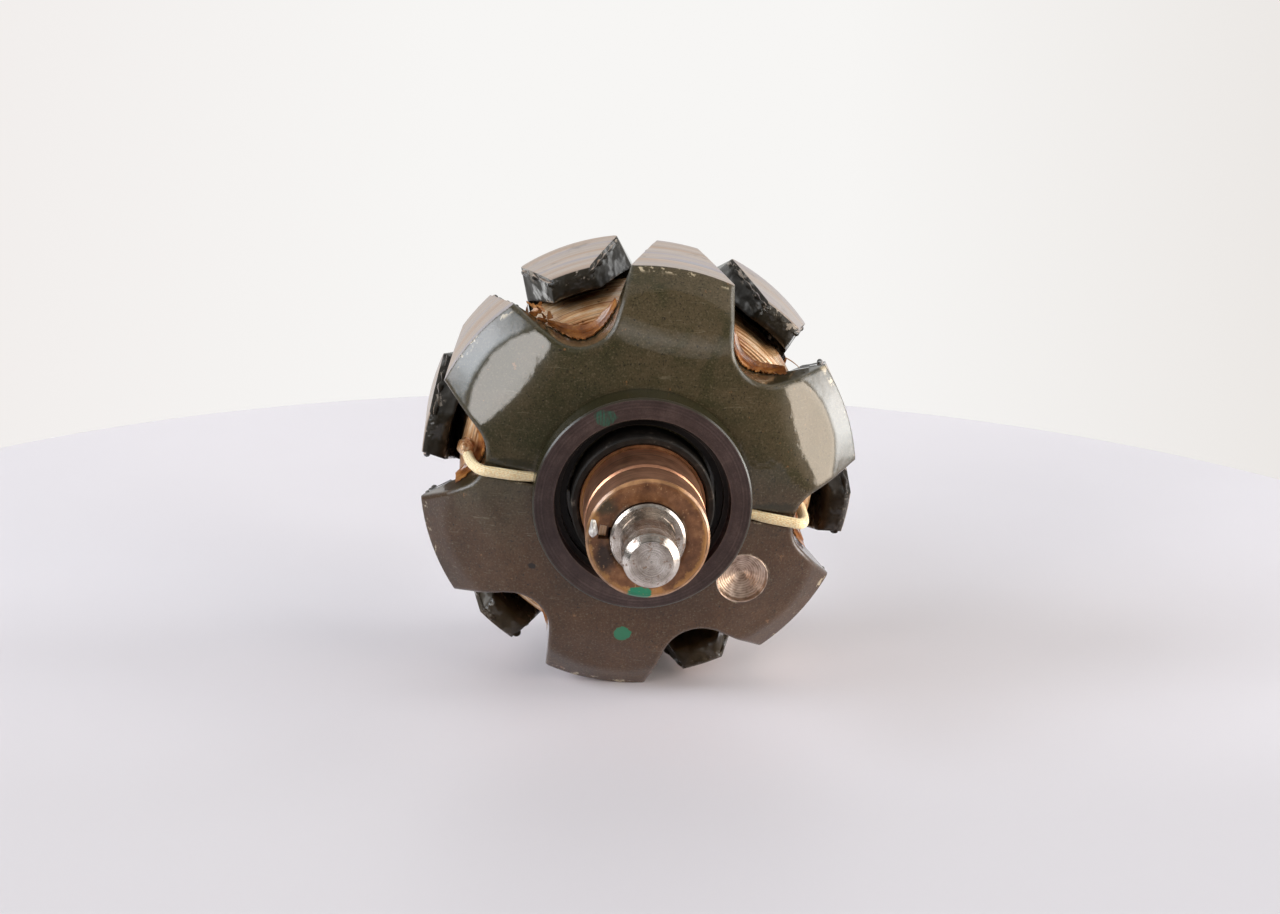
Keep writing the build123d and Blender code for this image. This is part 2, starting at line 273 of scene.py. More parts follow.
def worn_edges(look, soft, top):
    """Both rims at the tops of the claws, and every other sharp edge."""
    front_rim = look.math("ABSOLUTE", look.minus(look.y, RIM * MM))
    back_rim = look.math("ABSOLUTE", look.minus(look.y, BACK_RIM * MM))
    off_rim = look.math("MINIMUM", front_rim, back_rim)
    rim = look.times(look.band(off_rim, 0.0017, 0.0008), top)
    return look.math("MAXIMUM", rim, look.edge(soft, 0.93, 0.985))


def ground_steel(look, lines):
    """Heat colours, grinding lines and grime on the ground tops of the claws."""
    heat = look.noise(1.0, 2, 0.5, look.stretch(22, 260, 22))
    ground = look.ramp(heat, [
        (0.30, (0.54, 0.33, 0.19)),
        (0.42, (0.58, 0.44, 0.35)),
        (0.54, (0.58, 0.49, 0.43)),
        (0.62, (0.47, 0.39, 0.43)),
        (0.72, (0.40, 0.41, 0.48)),
    ])
    ground = look.mix(look.band(lines, 0.35, 0.75), ground, (0.36, 0.29, 0.25))
    grime = look.band(look.noise(150, 5, 0.65), 0.57, 0.74)
    return look.mix(look.times(grime, 0.6), ground, (0.14, 0.085, 0.05))


def drilling(look):
    """Share, cutting rings and colour of the balance drilling."""
    centre = around(DRILL_PLACE, 0, DRILL_ANGLE) * MM
    aside = look.math("POWER", look.minus(look.x, centre.x), 2.0)
    above = look.math("POWER", look.minus(look.z, centre.z), 2.0)
    off_centre = look.math("SQRT", look.plus(aside, above))
    in_front = look.band(look.y, RIM * MM, (RIM - 1) * MM)
    drilled = look.times(look.band(off_centre, 0.00638, 0.00618), in_front)
    turns = look.math("SINE", look.times(off_centre, 11500.0))
    cut = look.ramp(look.plus(look.times(turns, 0.07), look.noise(700, 3)), [
        (0.25, (0.28, 0.19, 0.14)),
        (0.55, (0.60, 0.46, 0.37)),
        (0.85, (0.78, 0.66, 0.57)),
    ])
    return drilled, turns, cut


def wheel_look():
    look = Look("varnished_steel")
    soft = look.soft_edges(0.0010)
    patches = look.noise(34, 4, 0.6, distortion=0.6)
    drawn = look.stretch(1.0, 0.32, 1.0)
    low_side = look.band(look.z, -0.005, -0.030)
    top = look.band(look.radius, 0.0508, 0.0516)
    near_top = look.band(look.plus(look.radius, look.times(patches, 0.004)), 0.0515, 0.0528)
    between = look.band(look.y, RIM * MM, (RIM + 2) * MM)
    behind = look.times(between, look.band(look.y, BACK_RIM * MM, (BACK_RIM - 2) * MM))

    # Chips at the edges, black varnish between the rims that is browner on the lower claws as a painted
    # reflection of the table, pale flakes near the tops as painted glints, a darker band above each lead, and
    # the pit as a spot of painted shade
    varnish = wheel_varnish(look, patches)
    chipped = look.times(worn_edges(look, soft, top), look.band(look.noise(330, 4, 0.7), 0.55, 0.62))
    chipped = look.times(chipped, look.blend(behind, 1.0, 0.4))
    varnish = look.mix(chipped, varnish, (0.42, 0.35, 0.24))
    # Black varnish between the rims, lighter and browner on the lower claws as a painted reflection of the
    # table
    tar_and_painted_reflection = look.mix(low_side, (0.009, 0.006, 0.003), (0.026, 0.018, 0.007))
    varnish = look.mix(look.times(behind, look.blend(patches, 0.75, 0.95)), varnish, tar_and_painted_reflection)
    # Pale flakes near the tops of the claws are painted glints, fewer on the lower claws
    glint_flakes = look.times(near_top, look.band(look.noise(460, 3, 0.6, drawn), 0.58, 0.64))
    glint_flakes = look.times(glint_flakes, look.times(behind, look.blend(low_side, 1.0, 0.2)))
    varnish = look.mix(glint_flakes, varnish, (0.26, 0.22, 0.18))
    # A darker band just above each lead
    for lead in (LEFT_LEAD, RIGHT_LEAD):
        above_lead = around(32, FACE + 0.5, lead) + Vector((0, 0, 2.3))
        dark_above_lead = look.spot(above_lead, (7, 3, 1.3), 0.9, 0.4)
        varnish = look.mix(look.times(dark_above_lead, 0.8), varnish, (0.014, 0.012, 0.003))
    # The pit has no depth in the mesh: its dark spot is painted shade
    pit_shade = look.spot(PIT_SHADE, (0.9, 2.0, 0.7), 1.0, 0.25)
    varnish = look.mix(pit_shade, varnish, (0.010, 0.005, 0.002))

    # Bare steel at the ground tops and in the drilling, and a dot of paint
    lines = look.noise(1.0, 3, 0.6, look.stretch(30, 5200, 30))
    bare = look.times(look.band(look.outward(), 0.84, 0.93), top)
    drilled, turns, cut = drilling(look)
    colour = look.mix(bare, varnish, ground_steel(look, lines))
    colour = look.mix(drilled, colour, cut)
    paint = look.spot(PAINT_DOT, (2.1, 3.5, 2.0), 0.8)
    colour = look.mix(paint, colour, (0.014, 0.135, 0.066))
    metal = look.math("MAXIMUM", bare, drilled)
    cast = look.times(behind, look.minus(1.0, bare))

    # Relief from the broad sags of the varnish to the fine lines of the grinding
    sag = look.bump(look.noise(60, 2, 0.4), 0.0004, 0.7, soft)
    wavy = look.bump(look.noise(170, 2, 0.4), 0.00016, 0.6, sag)
    lumpy = look.bump(look.noise(210, 2, 0.5, drawn), 0.0016, look.times(cast, 0.9), wavy)
    crust = look.bump(look.noise(560, 2, 0.5, drawn), 0.0005, look.times(cast, near_top), lumpy)
    peel = look.bump(look.noise(520, 3, 0.5), 0.00007, 0.5, crust)
    scored = look.bump(lines, 0.00006, look.times(bare, 0.8), peel)
    ringed = look.bump(turns, 0.00004, look.times(drilled, 0.9), scored)
    rough = look.blend(metal, look.blend(cast, 0.42, 0.62), look.blend(lines, 0.26, 0.42))
    rough = look.blend(paint, rough, 0.6)
    glossy = look.band(look.noise(250, 2, 0.5, drawn), 0.47, 0.57)
    coat = look.blend(metal, look.blend(cast, 1.0, look.blend(glossy, 0.12, 1.0)), 0.10)
    return look.finish(
        Base_Color=colour, Metallic=look.times(metal, 0.95), Roughness=rough, Specular_IOR_Level=0.2,
        Coat_Weight=coat, Coat_Roughness=0.06, Coat_IOR=1.41, Normal=ringed, Coat_Normal=peel,
    )


def copper_wire_look():
    look = Look("varnished_copper")
    strands = look.noise(1.0, 3, 0.6, look.rings(1300, 1300))
    patches = look.noise(120, 4, 0.6)
    colour = look.ramp(look.plus(look.times(strands, 0.6), look.times(patches, 0.4)), [
        (0.32, (0.16, 0.045, 0.012)),
        (0.42, (0.42, 0.165, 0.050)),
        (0.52, (0.66, 0.41, 0.21)),
        (0.64, (0.86, 0.74, 0.57)),
    ])
    soot = look.band(look.noise(420, 4, 0.6), 0.62, 0.72)
    colour = look.mix(soot, colour, (0.12, 0.045, 0.012))
    runs = look.bump(look.noise(500, 3, 0.5), 0.0002, 0.5)
    return look.finish(
        Base_Color=colour, Metallic=0.3, Roughness=look.blend(patches, 0.30, 0.48),
        Coat_Weight=1.0, Coat_Roughness=0.16, Normal=runs,
    )


def paper_look():
    look = Look("insulation_paper")
    tone = look.noise(240, 5, 0.65)
    colour = look.ramp(tone, [
        (0.32, (0.075, 0.020, 0.004)),
        (0.48, (0.26, 0.085, 0.016)),
        (0.66, (0.50, 0.22, 0.055)),
    ])
    fibres = look.bump(look.noise(2400, 3, 0.6), 0.0002, 0.6)
    return look.finish(
        Base_Color=colour, Roughness=look.blend(tone, 0.3, 0.6),
        Coat_Weight=0.7, Coat_Roughness=0.15, Normal=fibres,
    )


def bobbin_look():
    look = Look("bobbin_plastic")
    tone = look.noise(180, 4, 0.6)
    colour = look.ramp(tone, [(0.3, (0.02, 0.014, 0.008)), (0.7, (0.10, 0.05, 0.02))])
    rough = look.blend(tone, 0.3, 0.55)
    return look.finish(Base_Color=colour, Roughness=rough, Coat_Weight=0.6, Coat_Roughness=0.15)


def sleeve_look():
    look = Look("lead_sleeving")
    weave = look.noise(2600, 3, 0.6)
    dirt = look.noise(300, 4, 0.6)
    colour = look.ramp(weave, [
        (0.32, (0.84, 0.60, 0.29)),
        (0.44, (0.99, 0.78, 0.46)),
        (0.60, (1.00, 0.90, 0.64)),
    ])
    lean = math.radians(RIGHT_LEAD)
    across = look.minus(look.times(look.x, math.cos(lean)), look.times(look.z, math.sin(lean)))
    out_wave = look.times(look.radius, 9500.0)
    side_wave = look.times(across, 8500.0)
    one = look.math("SINE", look.plus(out_wave, side_wave))
    other = look.math("SINE", look.minus(out_wave, side_wave))
    holes = look.band(look.times(one, other), 0.20, 0.85)
    colour = look.mix(look.times(holes, 0.75), colour, (0.46, 0.28, 0.10))
    colour = look.mix(look.band(dirt, 0.66, 0.80), colour, (0.50, 0.32, 0.13))
    threads = look.bump(weave, 0.0001, 0.5)
    return look.finish(Base_Color=colour, Roughness=look.blend(dirt, 0.45, 0.75), Normal=threads)


def ring_look():
    look = Look("ring_plastic")
    soft = look.soft_edges(0.0003)
    lines = look.noise(1.0, 3, 0.6, look.rings(4200, 2600))
    dust = look.noise(210, 5, 0.65)
    grit = look.noise(2600, 3, 0.65)
    tone = look.plus(look.times(lines, 0.35), look.times(dust, 0.40))
    colour = look.ramp(look.plus(tone, look.times(grit, 0.25)), [
        (0.34, (0.018, 0.011, 0.010)),
        (0.50, (0.039, 0.025, 0.024)),
        (0.66, (0.080, 0.055, 0.051)),
    ])
    # Painted shade: the inner part of the ring, down in its bore, mixed towards near black
    deep_shade = look.band(look.radius, 0.0207, 0.0202)
    colour = look.mix(look.times(deep_shade, 0.75), colour, (0.006, 0.005, 0.004))
    wall = look.times(look.band(look.outward(), 0.5, 0.8), look.band(look.radius, 0.0245, 0.0250))
    colour = look.mix(wall, colour, (0.020, 0.018, 0.007))
    # A lighter line along every edge of the ring
    light_edges = look.edge(soft, 0.80, 0.96)
    colour = look.mix(look.times(light_edges, 0.4), colour, (0.30, 0.25, 0.21))
    paint = look.spot(PAINT_RING, (2.5, 2.0, 1.9), 0.9)
    patchy = look.band(look.noise(1.0, 3, 0.6, look.stretch(2600, 1000, 420)), 0.38, 0.62)
    colour = look.mix(look.times(paint, look.blend(patchy, 0.12, 0.65)), colour, (0.012, 0.10, 0.065))
    turned = look.bump(lines, 0.00008, 0.5, soft)
    return look.finish(
        Base_Color=colour, Roughness=look.blend(wall, look.blend(dust, 0.42, 0.62), 0.22), Normal=turned,
        Coat_Weight=look.times(wall, 0.2), Coat_Roughness=0.08, Specular_IOR_Level=0.3,
    )


def collar_look():
    look = Look("collar_plastic")
    dust = look.noise(420, 5, 0.65)
    colour = look.ramp(dust, [
        (0.40, (0.006, 0.005, 0.004)),
        (0.60, (0.014, 0.011, 0.009)),
        (0.72, (0.10, 0.085, 0.07)),
    ])
    grain = look.bump(look.noise(1500, 3, 0.6), 0.0001, 0.5)
    rough = look.blend(dust, 0.55, 0.75)
    return look.finish(Base_Color=colour, Roughness=rough, Specular_IOR_Level=0.18, Normal=grain)


def resin_look():
    look = Look("hub_resin")
    tone = look.noise(260, 5, 0.6)
    colour = look.ramp(tone, [
        (0.30, (0.060, 0.024, 0.009)),
        (0.50, (0.135, 0.056, 0.023)),
        (0.70, (0.23, 0.110, 0.050)),
    ])
    wander = look.times(look.minus(look.noise(330, 4, 0.6), 0.5), 0.006)
    outer = look.band(look.plus(look.radius, wander), 0.0122, 0.0130)
    golden = look.times(outer, look.band(look.z, 0.012, 0.004))
    colour = look.mix(look.times(golden, 0.85), colour, (0.30, 0.145, 0.045))
    for x, z, width, height, shade in SMEARS:
        smear = look.spot((x, SLIP_FRONT, z), (width, SMEAR_DEPTH, height), 0.9, 0.5)
        colour = look.mix(look.times(smear, 0.85), colour, shade)
    colour = look.mix(look.spot(PAINT_SLIP, PAINT_SLIP_SIZE, 0.9), colour, PAINT_SLIP_GREEN)
    dust = look.band(look.noise(1700, 3, 0.6), 0.63, 0.70)
    colour = look.mix(look.times(dust, 0.7), colour, (0.34, 0.20, 0.10))
    sag = look.bump(look.noise(500, 2, 0.4), 0.0003, 0.5)
    return look.finish(
        Base_Color=colour, Roughness=look.blend(tone, 0.25, 0.5), Specular_IOR_Level=0.2,
        Coat_Weight=0.5, Coat_Roughness=0.12, Coat_IOR=1.41, Normal=sag,
    )


def slip_copper_look():
    look = Look("slip_ring_copper")
    track = look.noise(1.0, 3, 0.65, look.rings(900, 2300))
    stain = look.noise(190, 5, 0.65)
    colour = look.ramp(look.plus(look.times(track, 0.6), look.times(stain, 0.4)), [
        (0.30, (0.30, 0.140, 0.078)),
        (0.46, (0.60, 0.290, 0.170)),
        (0.58, (0.80, 0.440, 0.280)),
        (0.72, (0.88, 0.560, 0.400)),
    ])
    covered = look.band(look.y, (SLIP_FRONT + 0.6) * MM, (SLIP_FRONT + 0.45) * MM)
    brown = look.ramp(look.noise(260, 5, 0.6), [(0.35, (0.16, 0.075, 0.028)), (0.65, (0.44, 0.23, 0.10))])
    colour = look.mix(covered, colour, brown)
    paint = look.times(look.spot(PAINT_SLIP, PAINT_SLIP_SIZE, 0.9), covered)
    colour = look.mix(paint, colour, PAINT_SLIP_GREEN)
    scored = look.bump(track, 0.00012, 0.7)
    rough = look.blend(covered, look.blend(stain, 0.26, 0.44), 0.38)
    metal = look.minus(1.0, look.times(covered, 0.7))
    return look.finish(
        Base_Color=colour, Metallic=metal, Roughness=rough, Specular_IOR_Level=0.3,
        Coat_Weight=look.times(covered, 0.7), Coat_Roughness=0.1, Normal=scored,
    )


def shaft_look():
    look = Look("shaft_steel")
    lines = look.noise(1.0, 3, 0.6, look.rings(3600, 3600))
    stain = look.noise(230, 5, 0.65)
    colour = look.ramp(stain, [
        (0.30, (0.26, 0.21, 0.17)),
        (0.46, (0.54, 0.475, 0.42)),
        (0.62, (0.77, 0.71, 0.65)),
    ])
    colour = look.mix(look.band(lines, 0.45, 0.8), colour, (0.30, 0.26, 0.22))
    rust = look.band(look.noise(700, 4, 0.68), 0.57, 0.66)
    colour = look.mix(look.times(rust, 0.75), colour, (0.13, 0.055, 0.025))
    turned = look.bump(lines, 0.00008, 0.7)
    pitted = look.bump(look.noise(1300, 3, 0.6), 0.00008, 0.35, turned)
    metal = look.blend(rust, 1.0, 0.45)
    rough = look.blend(stain, 0.16, 0.30)
    return look.finish(Base_Color=colour, Metallic=metal, Roughness=rough, Normal=pitted)


def core_look():
    look = Look("core_steel")
    tone = look.noise(170, 4, 0.6)
    colour = look.ramp(tone, [(0.3, (0.16, 0.14, 0.12)), (0.7, (0.36, 0.33, 0.30))])
    return look.finish(Base_Color=colour, Metallic=0.9, Roughness=look.blend(tone, 0.35, 0.6))


def solder_look():
    look = Look("tinned_copper")
    tone = look.noise(900, 4, 0.6)
    colour = look.ramp(tone, [(0.3, (0.46, 0.43, 0.39)), (0.6, (0.86, 0.84, 0.81))])
    lumps = look.bump(tone, 0.0002, 0.6)
    return look.finish(Base_Color=colour, Metallic=0.9, Roughness=look.blend(tone, 0.22, 0.5), Normal=lumps)


def table_look():
    look = Look("table_top")
    tone = look.noise(9, 3, 0.5)
    colour = look.ramp(tone, [(0.3, (0.735, 0.705, 0.745)), (0.7, (0.765, 0.735, 0.775))])
    # Darker towards the front: painted falloff of the light across the table
    colour = look.mix(look.band(look.y, 0.012, -0.075), colour, (0.645, 0.62, 0.65))
    grain = look.bump(look.noise(1900, 2, 0.5), 0.00005, 0.3)
    return look.finish(Base_Color=colour, Roughness=look.blend(tone, 0.42, 0.50), Normal=grain)


def linked(name, data):
    """New object in the scene that carries a mesh, a lamp or a camera."""
    thing = bpy.data.objects.new(name, data)
    bpy.context.scene.collection.objects.link(thing)
    return thing


def mesh_piece(name, shape, material, sharp=None):
    points, faces = shape
    data = bpy.data.meshes.new(name)
    data.from_pydata([tuple(p * MM) for p in points], [], faces)
    data.validate()
    data.shade_smooth()
    if sharp:
        data.set_sharp_from_angle(angle=math.radians(sharp))
    piece = linked(name, data)
    data.materials.append(material)
    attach(piece, "root")
    return piece


def lathe(profile, steps, shape):
    """Points and faces of an outline of (radius, station) pairs spun round the shaft axis."""
    points, faces, rows = [], [], []
    for radius, station in profile:
        if radius == 0:
            rows.append([len(points)] * steps)
            points.append(Vector((0, station, 0)))
            continue
        rows.append(list(range(len(points), len(points) + steps)))
        for step in range(steps):
            angle = 360 * step / steps
            points.append(around(shape(radius, station, angle), station, angle))
    for first, second in zip(rows, rows[1:]):
        for step in range(steps):
            after = (step + 1) % steps
            corners = [first[step], first[after], second[after], second[step]]
            faces.append([c for i, c in enumerate(corners) if c not in corners[:i]])
    return points, faces


def loop_faces(rows, size, turned=False):
    """Faces between neighbouring rows of points, each row a closed loop."""
    faces = []
    for row in range(rows - 1):
        low = row * size
        high = low + size
        for step in range(size):
            after = (step + 1) % size
            if turned:
                faces.append((low + step, high + step, high + after, low + after))
            else:
                faces.append((low + step, low + after, high + after, high + step))
    return faces


def tube_faces(rows, size):
    """Faces of a tube of closed loops, with a cap at either end."""
    last = (rows - 1) * size
    return loop_faces(rows, size) + [tuple(reversed(range(size))), tuple(range(last, last + size))]


def joined(shapes):
    """Points and faces of several shapes as one."""
    points, faces = [], []
    for more_points, more_faces in shapes:
        faces += [tuple(corner + len(points) for corner in face) for face in more_faces]
        points += more_points
    return points, faces


def direction_at(line, index):
    """Direction of a line of places at one of them."""
    return (line[min(index + 1, len(line) - 1)] - line[max(index - 1, 0)]).normalized()


wheel = wheel_look()
wire = copper_wire_look()
paper = paper_look()
sleeving = sleeve_look()
steel = shaft_look()
resin = resin_look()
slip_copper = slip_copper_look()
finishes = {
    "slip_end_pole_wheel": wheel,
    "drive_end_pole_wheel": wheel,
    "pole_core": core_look(),
    "slip_end_insulation": paper,
    "drive_end_insulation": paper,
    "coil_bobbin": bobbin_look(),
    "field_winding": wire,
    "left_lead_sleeve": sleeving,
    "right_lead_sleeve": sleeving,
    "labyrinth_ring": ring_look(),
    "hub_collar": collar_look(),
    "slip_ring_hub": resin,
    "inner_slip_ring": slip_copper,
    "slip_ring_spacer": resin,
    "outer_slip_ring": slip_copper,
    "terminal_strip": wire,
    "shaft": steel,
}
for name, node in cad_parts.items():
    node.data.materials.clear()
    node.data.materials.append(finishes[name])

# Shaft with turning marks on its nose and a cut thread at the pulley end
NOSE_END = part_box("shaft")[0].y / MM
NOSE_RADIUS = 6.3
TURNING_STEP = 0.18
TURNING_DEPTH = 0.05
SHAFT_RADIUS = 8.5
SHAFT_BEVEL = 0.6
STOP_RADIUS = 12.0
STOP_WIDTH = 7.0
SEAT_END = 17.0
PULLEY_RADIUS = 8.0
PULLEY_END = 40.0
PULLEY_BEVEL = 0.4
RELIEF_RADIUS = 6.0
THREAD_START = 42.0
THREAD_END = 60.0
THREAD_RADIUS = 7.0
THREAD_LEAST = 5.9
THREAD_PITCH = 1.5
THREAD_DEPTH = 0.85
THREAD_ROWS = 12
THREAD_BEVEL = 1.2
BEVEL_STEP = 0.1
CENTRE_RADIUS = 2.4
CENTRE_DEPTH = 2.6
SHAFT_STEPS = 96


def thread_cut(radius, station, angle):
    if station <= THREAD_START or radius < THREAD_LEAST:
        return radius
    phase = (station / THREAD_PITCH - angle / 360) % 1
    flank = min(1.0, max(0.0, 2.6 * abs(phase - 0.5) - 0.15))
    run_in = min(1.0, station - THREAD_START)
    return radius - THREAD_DEPTH * (1 - flank) * run_in


outline = [(0, NOSE_END), (1.2, NOSE_END), (4.82, NOSE_END), (5.3, NOSE_END + 0.42)]
outline += [(NOSE_RADIUS, NOSE_END + 1.6)]
station = NOSE_END + 2.0
while station < SHOULDER - 0.3:
    groove = TURNING_DEPTH * (0.5 + 0.5 * math.sin(station * 9.0)) * (0.4 + 0.6 * chance.random())
    outline.append((NOSE_RADIUS - groove, station))
    station += TURNING_STEP
outline += [
    (NOSE_RADIUS, SHOULDER - 0.25),
    (NOSE_RADIUS - 0.15, SHOULDER),
    (SHAFT_RADIUS - SHAFT_BEVEL, SHOULDER),
    (SHAFT_RADIUS, SHOULDER + SHAFT_BEVEL),
    (SHAFT_RADIUS, -STOP_WIDTH),
    (STOP_RADIUS - SHAFT_BEVEL, -STOP_WIDTH),
    (STOP_RADIUS, SHAFT_BEVEL - STOP_WIDTH),
    (STOP_RADIUS, -SHAFT_BEVEL),
    (STOP_RADIUS - SHAFT_BEVEL, 0),
    (SHAFT_RADIUS, 0),
    (SHAFT_RADIUS, SEAT_END - 0.2),
    (SHAFT_RADIUS - 0.2, SEAT_END),
    (PULLEY_RADIUS, SEAT_END),
    (PULLEY_RADIUS, PULLEY_END - PULLEY_BEVEL),
    (PULLEY_RADIUS - PULLEY_BEVEL, PULLEY_END),
    (RELIEF_RADIUS, PULLEY_END),
    (RELIEF_RADIUS, THREAD_START),
]
station = THREAD_START
while station < THREAD_END - THREAD_BEVEL:
    outline.append((THREAD_RADIUS, station))
    station += THREAD_PITCH / THREAD_ROWS
for step in range(13):
    outline.append((THREAD_RADIUS - BEVEL_STEP * step, THREAD_END - THREAD_BEVEL + BEVEL_STEP * step))
outline += [(CENTRE_RADIUS, THREAD_END), (0, THREAD_END - CENTRE_DEPTH)]
piece = mesh_piece("turned_shaft", lathe(outline, SHAFT_STEPS, thread_cut), steel, 32)
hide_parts("shaft")

# Field winding with its rows of wire
WIRE = 0.75
WIRE_HOLLOW = 0.16
ROW_STEPS = 5
COIL_STEPS = 180
COIL_LOW, COIL_HIGH = (corner.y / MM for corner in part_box("field_winding"))
COIL_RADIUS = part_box("field_winding")[1].x / MM
COIL_FRONT = COIL_LOW + 0.1
COIL_BACK = COIL_HIGH - 0.1
COIL_BORE = 34.0
COIL_SHOULDER = 3.0
COIL_TOP = COIL_RADIUS - COIL_SHOULDER
FIRST_ROW = COIL_BORE + 0.2


def coil_wave(radius, station, angle):
    turn = math.radians(angle)
    sway = 0.10 * math.sin(3 * turn + station * 0.8) + 0.06 * math.sin(11 * turn + station * 2.3)
    return radius - 0.12 + sway


def wire_rows(start, end):
    """Places across a layer of wires, each with the depth of the hollow between two wires there."""
    count = max(1, round(abs(end - start) / WIRE))
    for row in range(count):
        for step in range(ROW_STEPS):
            share = (row + step / ROW_STEPS) / count
            hollow = WIRE_HOLLOW * (1 - math.sin(math.pi * step / ROW_STEPS))
            yield start + (end - start) * share, hollow


def shoulder_rows(centre_station, facing):
    """Rows of wire over the rounded shoulder of the coil, from its face out to its top."""
    for turn, hollow in wire_rows(0.0, COIL_SHOULDER * math.pi / 2):
        lean = turn / COIL_SHOULDER
        reach = COIL_SHOULDER - hollow
        yield COIL_TOP + reach * math.sin(lean), centre_station + facing * reach * math.cos(lean)


top_start = COIL_FRONT + COIL_SHOULDER
top_end = COIL_BACK - COIL_SHOULDER
outline = [(COIL_BORE, COIL_FRONT + 0.2)]
outline += [(radius, COIL_FRONT + hollow) for radius, hollow in wire_rows(FIRST_ROW, COIL_TOP)]
outline += shoulder_rows(top_start, -1)
outline += [(COIL_RADIUS - hollow, place) for place, hollow in wire_rows(top_start, top_end)]
outline += reversed(list(shoulder_rows(top_end, 1)))
outline += [(radius, COIL_BACK - hollow) for radius, hollow in wire_rows(COIL_TOP, FIRST_ROW)]
outline += [(COIL_BORE, COIL_BACK - 0.2)]
piece = mesh_piece("wound_coil", lathe(outline, COIL_STEPS, coil_wave), wire)
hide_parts("field_winding")

# Braided sleeves over the coil leads
SLEEVE_RADIUS = 1.3
SLEEVE_LEVEL = FACE + 1.5
SLEEVE_START = 17.6
SLEEVE_BEND = 3.0
SLEEVE_DROP = 40.51
SLEEVE_PROUD = 0.55
SLEEVE_LEVEL_RUN = 2.8
SLEEVE_SUNK = 0.8
LIFT_SHARES = (0.42, 0.75)
DRIFT_SHARES = (0.3, 0.6)
GROOVE_STEPS = 130
DROP_STEPS = 110
STRANDS = 14
STRAND_PACE = 5.2
STRAND_RELIEF = 0.09
BRAID_SINK = 0.10
BRAID_STEPS = 56


def ease(value, low, high):
    share = min(1.0, max(0.0, (value - low) / (high - low)))
    return share * share * (3 - 2 * share)


def sleeve_path(drift, swing):
    """Places along a lead as (reach, station, side): out along its groove, then over into the notch."""
    bend_start = SLEEVE_DROP - SLEEVE_BEND - 0.7 * swing
    level = SLEEVE_LEVEL - SLEEVE_PROUD
    path = []
    for step in range(GROOVE_STEPS):
        share = step / GROOVE_STEPS
        reach = SLEEVE_START + (bend_start - SLEEVE_START) * share
        lift = SLEEVE_PROUD * ease(share, *LIFT_SHARES)
        path.append(Vector((reach, SLEEVE_LEVEL - lift, drift * ease(share, *DRIFT_SHARES))))
    corners = [
        Vector((bend_start, level, drift)),
        Vector((bend_start + SLEEVE_LEVEL_RUN, level, drift)),
        Vector((SLEEVE_DROP + 0.3 * swing, level + 2.0 + 1.4 * swing, drift)),
        Vector((SLEEVE_DROP + swing, COIL_LOW + SLEEVE_SUNK, drift)),
    ]
    for step in range(DROP_STEPS + 1):
        share = step / DROP_STEPS
        rest = 1 - share
        weights = (rest ** 3, 3 * rest * rest * share, 3 * rest * share * share, share ** 3)
        path.append(sum((corner * weight for corner, weight in zip(corners, weights)), Vector()))
    return path


def braided_tube(path, angle):
    outward, across = axes_at(angle)
    points = []
    length = 0.0
    for index, place in enumerate(path):
        ahead = direction_at(path, index)
        side = Vector((0, 0, 1))
        side = (side - ahead * side.dot(ahead)).normalized()
        top = side.cross(ahead)
        if index:
            length += (place - path[index - 1]).length
        for step in range(BRAID_STEPS):
            turn = 2 * math.pi * step / BRAID_STEPS
            one = math.cos(STRANDS * turn + STRAND_PACE * length)
            other = math.cos(STRANDS * turn - STRAND_PACE * length)
            reach = SLEEVE_RADIUS - BRAID_SINK + STRAND_RELIEF * max(one, other)
            spot = place + (side * math.cos(turn) + top * math.sin(turn)) * reach
            points.append(outward * spot.x + Vector((0, spot.y, 0)) + across * spot.z)
    return points, tube_faces(len(path), BRAID_STEPS)


for side, angle, drift, swing in (("left", LEFT_LEAD, -0.28, 1.4), ("right", RIGHT_LEAD, 0.28, 0.0)):
    shape = braided_tube(sleeve_path(drift, swing), angle)
    piece = mesh_piece(side + "_braid", shape, sleeving, 70)
    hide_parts(side + "_lead_sleeve")

# Varnished paper liners round the bottoms of the notches
# A corner of their section is (inset from the wall, depth)
NOTCH_ROUND = 9.2
NOTCH_CENTRE = 46.61
NOTCH_FLARE = 38.0
ROUND_STEPS = 48
WALL_STEPS = 8
LINER_WALL = 2.6
LINER_SECTION = [
    (0.25, -5.2), (0.55, -5.2), (0.60, -2.4), (0.75, -1.2), (1.05, -0.55),
    (1.5, -0.2), (2.0, 0.0), (2.0, 0.6), (0.25, 0.6),
]
FRAYED_BELOW = -3.5


def notch_line(inset):
    """Outline of a notch as (side, height) pairs, set in from its wall."""
    half = math.radians(90 - NOTCH_FLARE)
    lean = math.radians(NOTCH_FLARE)
    radius = NOTCH_ROUND - inset
    line = []
    for step in range(ROUND_STEPS + 1):
        turn = -half + 2 * half * step / ROUND_STEPS
        line.append((radius * math.sin(turn), NOTCH_CENTRE - radius * math.cos(turn)))
    end_side, end_height = line[-1]
    wall = []
    for step in range(1, WALL_STEPS + 1):
        rise = LINER_WALL * step / WALL_STEPS
        wall.append((end_side + rise * math.sin(lean), end_height + rise * math.cos(lean)))
    return [(-side, height) for side, height in reversed(wall)] + line + wall


